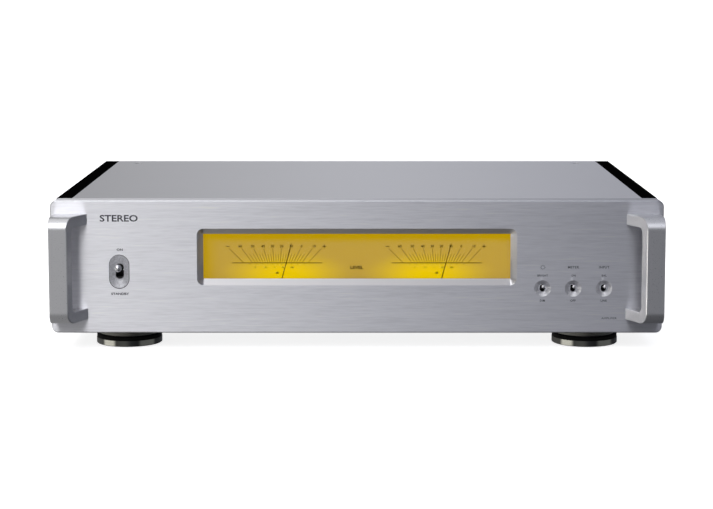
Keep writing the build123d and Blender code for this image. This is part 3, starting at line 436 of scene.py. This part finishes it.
def add_ring(bm, centre, radius, width, y, first=0.0, last=360.0):
    """Add a thin round mark, or part of one."""
    for step in range(RING_STEPS):
        a = math.radians(first + (last - first) * step / RING_STEPS)
        b = math.radians(first + (last - first) * (step + 1) / RING_STEPS)
        start = (centre[0] + radius * math.sin(a), centre[1] + radius * math.cos(a))
        end = (centre[0] + radius * math.sin(b), centre[1] + radius * math.cos(b))
        add_bar(bm, start, end, width, y)


def add_piece(name, bm, material, body):
    """Turn a bmesh into a flat-shaded piece that rides on a body."""
    bmesh.ops.recalc_face_normals(bm, faces=bm.faces)
    mesh = bpy.data.meshes.new(name)
    bm.to_mesh(mesh)
    bm.free()
    mesh.materials.append(material)
    for polygon in mesh.polygons:
        polygon.use_smooth = False
    piece = bpy.data.objects.new(name, mesh)
    bpy.context.scene.collection.objects.link(piece)
    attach(piece, body)
    return piece


METER_AXIS_X = 0.05825         # each needle's pivot, left and right of the middle
PIVOT_Z = 0.0384
SCALE_HALF_W = 0.0329
SCALE_LINE_Z = 0.0630
NUMBER_Z = 0.0752
TICK_TOP_Z = 0.0735
SUB_NUMBER_Z = 0.0596
UNIT_Z = 0.0556
TICK_W = 0.3 * MM
SMALL_TICK_W = 0.26 * MM
SMALL_TICK_H = 6.6 * MM
DEGREES_PER_TEN = 10.35
ZERO_DEG = 25.9
NUMBERS = ("60", "50", "40", "30", "20", "10", "0", "10")


def fan_point(sign, degrees, z):
    """Point on a line from the needle's pivot, at a given height."""
    return (sign * METER_AXIS_X + (z - PIVOT_Z) * math.tan(math.radians(degrees)), z)


def add_meter_scale(bm, sign, y):
    """Scale line, fan of ticks, numbers and a small lower scale for one meter."""
    left = sign * METER_AXIS_X - SCALE_HALF_W
    right = sign * METER_AXIS_X + SCALE_HALF_W
    add_bar(bm, (left, SCALE_LINE_Z), (right, SCALE_LINE_Z), 0.55 * MM, y)
    first = ZERO_DEG - 6 * DEGREES_PER_TEN
    for index, number in enumerate(NUMBERS):
        degrees = first + index * DEGREES_PER_TEN
        add_bar(bm, fan_point(sign, degrees, SCALE_LINE_Z), fan_point(sign, degrees, TICK_TOP_Z), TICK_W, y)
        x, z = fan_point(sign, degrees, NUMBER_Z)
        add_text(bm, number, (x, y, z), 1.9 * MM, bold=0.06)
        if index < len(NUMBERS) - 1:
            for part in (1, 2):
                lean = degrees + part * DEGREES_PER_TEN / 3
                end = fan_point(sign, lean, SCALE_LINE_Z + SMALL_TICK_H)
                add_bar(bm, fan_point(sign, lean, SCALE_LINE_Z), end, SMALL_TICK_W, y)
    for degrees, mark in ((first - 8.6, "-"), (-first + 6.4, "+")):
        add_bar(bm, fan_point(sign, degrees, SCALE_LINE_Z), fan_point(sign, degrees, TICK_TOP_Z), TICK_W, y)
        x, z = fan_point(sign, degrees + 0.5, NUMBER_Z)
        add_bar(bm, (x - 1.5 * MM, z), (x + 1.5 * MM, z), 0.5 * MM, y)
        if mark == "+":
            add_bar(bm, (x, z - 1.4 * MM), (x, z + 1.4 * MM), 0.5 * MM, y)
    for step in range(11):
        lean = -40.0 + 8.0 * step
        end = fan_point(sign, lean, SCALE_LINE_Z - 1.4 * MM)
        add_bar(bm, fan_point(sign, lean, SCALE_LINE_Z - 0.3 * MM), end, 0.22 * MM, y)
    for lean, text in ((-37.0, "0"), (-21.0, "0.1"), (-5.0, "1"), (11.0, "10"), (27.0, "100")):
        x, z = fan_point(sign, lean, SUB_NUMBER_Z)
        add_text(bm, text, (x, y, z), 1.2 * MM, bold=0.04)
    add_text(bm, "dB", (sign * METER_AXIS_X, y, UNIT_Z), 1.5 * MM, bold=0.06)


def make_dial_marks():
    dial_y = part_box("meter_dial")[0].y
    dark = ink("dial_ink", (0.035, 0.018, 0.001))
    for side, sign in (("left", -1), ("right", 1)):
        bm = bmesh.new()
        add_meter_scale(bm, sign, dial_y - INK_T)
        add_piece(f"dial_scale_{side}", bm, dark, "root")
    bm = bmesh.new()
    add_text(bm, "LEVEL", (-0.0002, dial_y - INK_T, 0.0595), 2.3 * MM, width=9.4 * MM, bold=0.12)
    add_piece("dial_legend", bm, dark, "root")


HEAD_Z = 0.0612
UPPER_Z = 0.0551
LOWER_Z = 0.0367
SWITCH_LABELS = (
    (0.1348, None, "BRIGHT", "DIM"),
    (0.1570, "METER", "ON", "OFF"),
    (0.1793, "INPUT", "BAL", "LINE"),
)


def make_panel_legend():
    """Plain generic words in place of the maker's lettering."""
    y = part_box("front_panel")[0].y - INK_T
    bm = bmesh.new()
    for x, head, upper, lower in SWITCH_LABELS:
        if head:
            add_text(bm, head, (x, y, HEAD_Z), 1.75 * MM, spacing=1.1, bold=0.05)
        else:
            add_ring(bm, (x, HEAD_Z), 1.25 * MM, 0.25 * MM, y)
            for step in range(8):
                angle = math.radians(45.0 * step)
                near = (x + 1.6 * MM * math.sin(angle), HEAD_Z + 1.6 * MM * math.cos(angle))
                far = (x + 2.1 * MM * math.sin(angle), HEAD_Z + 2.1 * MM * math.cos(angle))
                add_bar(bm, near, far, 0.2 * MM, y)
        add_text(bm, upper, (x, y, UPPER_Z), 1.45 * MM, spacing=1.1, bold=0.05)
        add_text(bm, lower, (x, y, LOWER_Z), 1.45 * MM, spacing=1.1, bold=0.05)
    add_text(bm, "ON", (-0.1718, y, 0.0740), 1.6 * MM, width=4.4 * MM, bold=0.06)
    add_text(bm, "STANDBY", (-0.1720, y, 0.0417), 1.6 * MM, width=13.0 * MM, bold=0.07)
    add_text(bm, "STEREO", (-0.1722, y, 0.0968), 4.6 * MM, width=27.5 * MM, bold=0.14)
    add_text(bm, "AMPLIFIER", (0.1834, y, 0.0237), 1.4 * MM, width=11.0 * MM)
    add_piece("panel_legend", bm, ink("panel_ink", (0.06, 0.06, 0.07)), "root")


def make_rear_legend():
    """Function words and boxes round the rear connectors."""
    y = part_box("rear_panel")[1].y + INK_T
    bm = bmesh.new()
    words = (
        ("AC IN", -0.165, 0.0635),
        ("INPUT", 0.135, 0.0865),
        ("L", 0.118, 0.0805),
        ("R", 0.152, 0.0805),
        ("L", 0.187, 0.0835),
        ("R", 0.187, 0.0555),
        ("MODE", 0.084, 0.0680),
        ("SPEAKERS", 0.0, 0.0680),
        ("L", 0.0425, 0.0680),
        ("R", -0.0425, 0.0680),
        ("4 - 8", 0.0, 0.0400),
    )
    for text, x, z in words:
        add_text(bm, text, (x, y, z), 2.6 * MM, turn=REAR, bold=0.1)
    for x, mark in ((-0.055, "-"), (-0.030, "+"), (0.030, "-"), (0.055, "+")):
        add_bar(bm, (x - 1.4 * MM, 0.0425), (x + 1.4 * MM, 0.0425), 0.5 * MM, y - INK_T)
        if mark == "+":
            add_bar(bm, (x, 0.0411), (x, 0.0439), 0.5 * MM, y - INK_T)
    for x0, x1, z0, z1 in ((-0.070, 0.070, 0.0365, 0.0735), (0.0975, 0.2015, 0.0335, 0.0905)):
        corners = ((x0, z0), (x1, z0), (x1, z1), (x0, z1))
        for i in range(4):
            add_bar(bm, corners[i - 1], corners[i], 0.35 * MM, y - INK_T)
    add_piece("rear_legend", bm, ink("rear_ink", (0.72, 0.72, 0.70)), "root")


# ---- screw heads -----------------------------------------------------------
REAR_FACE_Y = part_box("rear_panel")[1].y
CROSS_ARM = 0.5                # half length of the recess, in head radii
CROSS_HALF = 0.13              # half width of the recess, in head radii


def islands(node):
    """Bounding boxes of a node's separate solids."""
    bm = bmesh.new()
    bm.from_mesh(NODES[node].data)
    bmesh.ops.remove_doubles(bm, verts=bm.verts, dist=0.001 * MM)
    left = set(bm.verts)
    boxes = []
    while left:
        stack = [left.pop()]
        points = []
        while stack:
            vert = stack.pop()
            points.append(vert.co.copy())
            for edge in vert.link_edges:
                other = edge.other_vert(vert)
                if other in left:
                    left.remove(other)
                    stack.append(other)
        low = Vector([min(p[axis] for p in points) for axis in range(3)])
        high = Vector([max(p[axis] for p in points) for axis in range(3)])
        boxes.append((low, high))
    bm.free()
    return boxes


def loop_at(bm, place, points, height):
    """Closed loop of vertices from flat points at one height, with its edges."""
    verts = [bm.verts.new(place @ Vector((px, py, height))) for px, py in points]
    edges = [bm.edges.new((verts[i - 1], verts[i])) for i in range(len(verts))]
    return verts, edges


def skin(bm, lower, upper):
    """Faces between two loops of equal length."""
    for i in range(len(lower)):
        bm.faces.new((lower[i - 1], lower[i], upper[i], upper[i - 1]))


def circle(radius):
    turns = [2.0 * math.pi * i / 40 for i in range(40)]
    return [(radius * math.cos(t), radius * math.sin(t)) for t in turns]


def cross(arm, half):
    """Outline of a plus sign."""
    quarter = [(half, arm), (half, half), (arm, half)]
    points = []
    for c, s in ((1, 0), (0, -1), (-1, 0), (0, 1)):
        points += [(c * px - s * py, s * px + c * py) for px, py in quarter]
    return points


def add_cross_head(bm, place, radius, rise):
    """Domed screw head with a cross recess, standing on the plane that place gives."""
    profile = ((1.0, 0.0), (1.0, 0.45), (0.93, 0.78))
    rings = [loop_at(bm, place, circle(radius * wide), rise * height)[0] for wide, height in profile]
    top, top_edges = loop_at(bm, place, circle(radius * 0.78), rise)
    rings.append(top)
    for lower, upper in zip(rings, rings[1:]):
        skin(bm, lower, upper)
    arm, half = radius * CROSS_ARM, radius * CROSS_HALF
    rim, rim_edges = loop_at(bm, place, cross(arm, half), rise)
    bmesh.ops.triangle_fill(bm, edges=top_edges + rim_edges, use_beauty=True)
    pit = loop_at(bm, place, cross(arm * 0.75, half * 0.75), rise * 0.4)[0]
    skin(bm, pit, rim)
    bm.faces.new(pit)


def make_rear_screws(material):
    bm = bmesh.new()
    for low, high in islands("rear_screws"):
        y_base = REAR_FACE_Y if high.y > REAR_FACE_Y else low.y
        centre = Matrix.Translation(((low.x + high.x) / 2, y_base, (low.z + high.z) / 2))
        add_cross_head(bm, centre @ REAR, (high.x - low.x) / 2, high.y - y_base)
    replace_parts(add_piece("rear_screw_heads", bm, material, "root"), "rear_screws")


def make_cover_screws(material):
    """Heads a little below the countersinks' rims, so that a dark ring shows round each."""
    bm = bmesh.new()
    for low, high in islands("top_cover_screws"):
        centre = Matrix.Translation(((low.x + high.x) / 2, (low.y + high.y) / 2, high.z - 0.9 * MM))
        add_cross_head(bm, centre, (high.x - low.x) / 2 - 0.45 * MM, 0.88 * MM)
    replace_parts(add_piece("cover_screw_heads", bm, material, "root"), "top_cover_screws")


def add_stadium_line(bm, centre, radius, straight, width, y):
    """Thin upright stadium outline: two half rings and two straight sides."""
    x, z = centre
    add_ring(bm, (x, z + straight / 2), radius, width, y, -90.0, 90.0)
    add_ring(bm, (x, z - straight / 2), radius, width, y, 90.0, 270.0)
    for side in (-radius, radius):
        add_bar(bm, (x + side, z - straight / 2), (x + side, z + straight / 2), width, y)


def make_dish_painted_shadow():
    """Painted shadow: a thin dark line on the panel face where the mains switch's dish meets the panel."""
    low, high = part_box("power_switch_dish")
    radius = (high.x - low.x) / 2
    straight = (high.z - low.z) - 2 * radius
    bm = bmesh.new()
    centre = ((low.x + high.x) / 2, (low.z + high.z) / 2)
    add_stadium_line(bm, centre, radius, straight, 0.5 * MM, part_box("front_panel")[0].y - INK_T)
    # painted shadow line, drawn in the matte ink finish
    add_piece("power_dish_painted_shadow", bm, ink("painted_dish_shadow", (0.09, 0.09, 0.10)), "root")


# ---- studio ----------------------------------------------------------------
def make_floor():
    bm = bmesh.new()
    bmesh.ops.create_grid(bm, x_segments=1, y_segments=1, size=30.0)
    mesh = bpy.data.meshes.new("floor")
    bm.to_mesh(mesh)
    bm.free()
    material, _, shader = principled("floor", (0.92, 0.92, 0.92), 0.0, 0.9, Specular_IOR_Level=0.0)
    shader.inputs["Emission Color"].default_value = (1.0, 1.0, 1.0, 1.0)
    shader.inputs["Emission Strength"].default_value = 0.82
    mesh.materials.append(material)
    floor = bpy.data.objects.new("floor", mesh)
    floor.visible_glossy = False
    bpy.context.scene.collection.objects.link(floor)


def ramp(n, value, stops):
    """Piecewise-linear brightness over a value from -1 to 1."""
    position = n.remap(value, -1.0, 1.0)
    node = n.add("ShaderNodeValToRGB", {"Fac": position})
    elements = node.color_ramp.elements
    for at, level in stops[1:-1]:
        elements.new((at + 1.0) / 2.0).color = (level, level, level, 1.0)
    for element, (at, level) in ((elements[0], stops[0]), (elements[len(stops) - 1], stops[-1])):
        element.color = (level, level, level, 1.0)
    return node.outputs["Color"]


FRONT_LEVELS = ((-1.0, 0.14), (-0.5, 0.4), (-0.16, 0.45), (0.0, 0.3), (0.16, 0.14), (0.5, 0.09), (1.0, 0.1))
BACK_LEVELS = ((-1.0, 0.5), (-0.85, 0.4), (-0.3, 0.1), (0.0, 0.66), (0.3, 0.13), (0.85, 0.11), (1.0, 0.12))
HIGH_LEVELS = (
    (-1.0, 0.15), (-0.7, 0.5), (-0.4, 3.7), (-0.16, 3.2), (0.0, 1.5), (0.16, 0.54), (0.35, 0.28), (1.0, 0.2)
)
ZENITH_LEVELS = ((-1.0, 0.9), (-0.16, 0.85), (0.0, 0.62), (0.16, 0.4), (1.0, 0.3))
LOW_LEVELS = ((-1.0, 0.35), (-0.16, 0.27), (0.0, 0.16), (0.16, 0.05), (1.0, 0.05))


LOW_STRIP_Z = -0.215           # direction of the low lamps


def low_strip(n, x, y, z, centre_deg, half_deg):
    """Where a low lamp stands: 1 inside its width in azimuth and its height, 0 outside."""
    azimuth = n.math("ARCTAN2", x, n.math("MULTIPLY", y, -1.0))
    off_centre = n.math("ABSOLUTE", n.math("SUBTRACT", azimuth, math.radians(centre_deg)))
    wide = n.remap(off_centre, math.radians(half_deg + 9.0), math.radians(half_deg - 6.0), smooth=True)
    off_height = n.math("ABSOLUTE", n.math("SUBTRACT", z, LOW_STRIP_Z))
    tall = n.remap(off_height, 0.06, 0.04, smooth=True)
    return n.math("MULTIPLY", wide, tall)


def make_world():
    """Soft studio surroundings: bright on the left and overhead, darker on the right."""
    world = bpy.data.worlds.new("studio")
    world.use_nodes = True
    bpy.context.scene.world = world
    n = Nodes(world.node_tree)
    background = world.node_tree.nodes["Background"]
    split = n.add("ShaderNodeSeparateXYZ", {0: n.add("ShaderNodeTexCoord").outputs["Generated"]})
    x, y, z = split.outputs
    front = ramp(n, x, FRONT_LEVELS)
    back = ramp(n, x, BACK_LEVELS)
    behind = n.remap(y, -0.25, 0.35, smooth=True)
    around = n.mix_color(behind, front, back)
    high = n.mix_color(behind, ramp(n, x, HIGH_LEVELS), back)
    above = n.mix_color(n.remap(z, 0.78, 0.93, smooth=True), high, ramp(n, x, ZENITH_LEVELS))
    sky = n.mix_color(n.remap(z, 0.2, 0.56, smooth=True), around, above)
    room = n.mix_color(n.remap(z, -0.2, -0.6, smooth=True), sky, ramp(n, x, LOW_LEVELS))
    lit = n.mix_color(low_strip(n, x, y, z, -71.0, 21.0), room, (4.6, 4.5, 4.25))
    lit = n.mix_color(low_strip(n, x, y, z, 72.0, 28.0), lit, (0.75, 0.75, 0.66))
    cool = n.mix_color(n.remap(x, -0.2, 0.3, smooth=True), (1.0, 1.0, 1.0), (0.95, 0.98, 1.12))
    lit = n.mix_color(1.0, lit, cool, blend="MULTIPLY")
    seen = n.add("ShaderNodeLightPath").outputs["Is Camera Ray"]
    n.feed(background, "Color", n.mix_color(seen, lit, (1.0, 1.0, 1.0)))


# ---- build -----------------------------------------------------------------
make_camera()
make_floor()
make_world()
bpy.context.scene.view_settings.view_transform = "Standard"
dress_nodes()
make_dial_marks()
make_panel_legend()
make_rear_legend()
make_rear_screws(grained("black_screw_head", (0.07, 0.07, 0.075), 1.0, 0.3, 1500.0, 0.2, 0.01))
make_cover_screws(grained("cover_screw_head", (0.30, 0.30, 0.31), 1.0, 0.22, 1500.0, 0.1, 0.005))
make_dish_painted_shadow()
